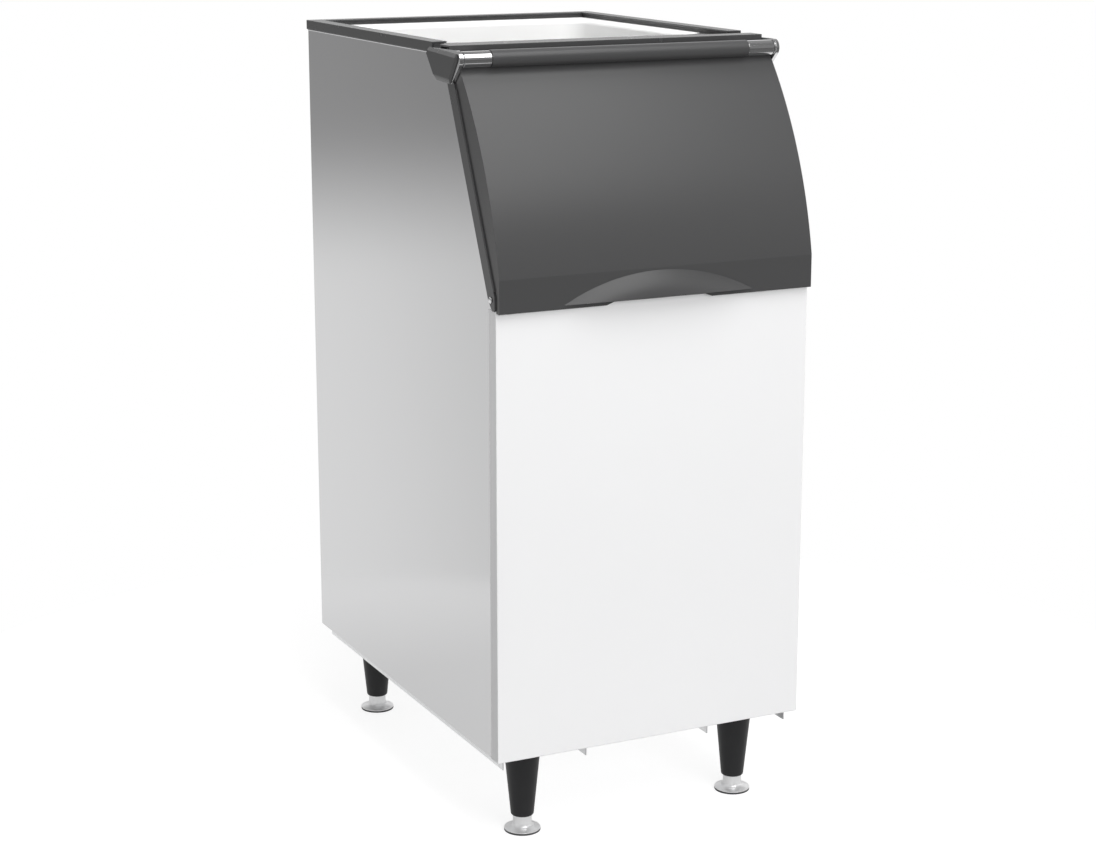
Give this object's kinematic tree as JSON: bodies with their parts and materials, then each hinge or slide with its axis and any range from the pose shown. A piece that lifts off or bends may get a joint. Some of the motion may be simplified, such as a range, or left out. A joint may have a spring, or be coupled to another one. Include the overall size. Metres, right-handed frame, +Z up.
{
  "type": "ice storage bin",
  "caption": "Free-standing insulated ice storage bin with an open top for a machine, a curved lift-up door with a finger grip, and levelling feet.",
  "frame": {"origin": "on the floor, in the middle of the overall box", "axes": "+Z up, the door and front panel face -Y, +X is to the right seen from the front"},
  "size_m": [0.5754, 0.8193, 1.2745],
  "materials": {
    "front_sheet": "satin white painted sheet",
    "side_sheet": "fine satin stainless sheet",
    "galvanised": "plain galvanised sheet",
    "liner_plastic": "smooth white moulded plastic",
    "foam": "rigid closed-cell foam",
    "dark_trim": "dark grey satin plastic",
    "door_plastic": "dark grey satin moulded plastic",
    "seal_rubber": "matt rubber",
    "bright_metal": "polished metal",
    "leg_plastic": "black satin plastic",
    "foot_metal": "bright plated steel",
    "drain_plastic": "light grey moulded plastic"
  },
  "bodies": {
    "cabinet": {"front_panel": "front_sheet", "side_panel_left": "side_sheet", "side_panel_right": "side_sheet", "back_panel": "galvanised", "bottom_panel": "galvanised", "liner": "liner_plastic", "foam_insulation": "foam", "base_rail_left": "galvanised", "base_rail_right": "galvanised", "leg_front_left": "leg_plastic", "leg_front_right": "leg_plastic", "leg_rear_left": "leg_plastic", "leg_rear_right": "leg_plastic", "trim_left": "dark_trim", "trim_right": "dark_trim", "trim_back": "dark_trim", "trim_seal": "seal_rubber", "front_rail": "dark_trim", "front_deck": "dark_trim", "frame_strip_left": "dark_trim", "frame_strip_right": "dark_trim", "sill_strip": "dark_trim", "frame_screw_left": "bright_metal", "frame_screw_right": "bright_metal", "hinge_base_left": "bright_metal", "hinge_base_right": "bright_metal", "hinge_cover_left": "dark_trim", "hinge_cover_right": "dark_trim", "hinge_screw_front_left": "bright_metal", "hinge_screw_front_right": "bright_metal", "hinge_screw_rear_left": "bright_metal", "hinge_screw_rear_right": "bright_metal", "hinge_rod": "bright_metal", "hinge_sleeve_left": "bright_metal", "hinge_sleeve_right": "bright_metal", "drain_fitting": "drain_plastic", "drain_gasket": "seal_rubber", "drain_nut": "drain_plastic", "drain_strainer": "bright_metal", "back_screw_lower_left": "bright_metal", "back_screw_lower_right": "bright_metal", "back_screw_upper_left": "bright_metal", "back_screw_upper_right": "bright_metal"},
    "door": {"door_shell": "door_plastic", "door_panel": "door_plastic", "door_gasket": "seal_rubber", "hinge_bush_left": "drain_plastic", "hinge_bush_right": "drain_plastic"},
    "leveller_front_left": {"foot_front_left": "foot_metal", "pad_front_left": "seal_rubber"},
    "leveller_front_right": {"foot_front_right": "foot_metal", "pad_front_right": "seal_rubber"},
    "leveller_rear_left": {"foot_rear_left": "foot_metal", "pad_rear_left": "seal_rubber"},
    "leveller_rear_right": {"foot_rear_right": "foot_metal", "pad_rear_right": "seal_rubber"}
  },
  "joints": [
    {"name": "door_hinge", "type": "hinge", "parent": "cabinet", "child": "door", "pos_m": [0, -0.25352, 1.2539], "axis": [-1, 0, 0], "range_deg": [0, 165]},
    {"name": "foot_slide_front_left", "type": "slide", "parent": "cabinet", "child": "leveller_front_left", "axis": [0, 0, -1], "range_m": [0, 0.025]},
    {"name": "foot_slide_front_right", "type": "slide", "parent": "cabinet", "child": "leveller_front_right", "axis": [0, 0, -1], "range_m": [0, 0.025]},
    {"name": "foot_slide_rear_left", "type": "slide", "parent": "cabinet", "child": "leveller_rear_left", "axis": [0, 0, -1], "range_m": [0, 0.025]},
    {"name": "foot_slide_rear_right", "type": "slide", "parent": "cabinet", "child": "leveller_rear_right", "axis": [0, 0, -1], "range_m": [0, 0.025]}
  ]
}
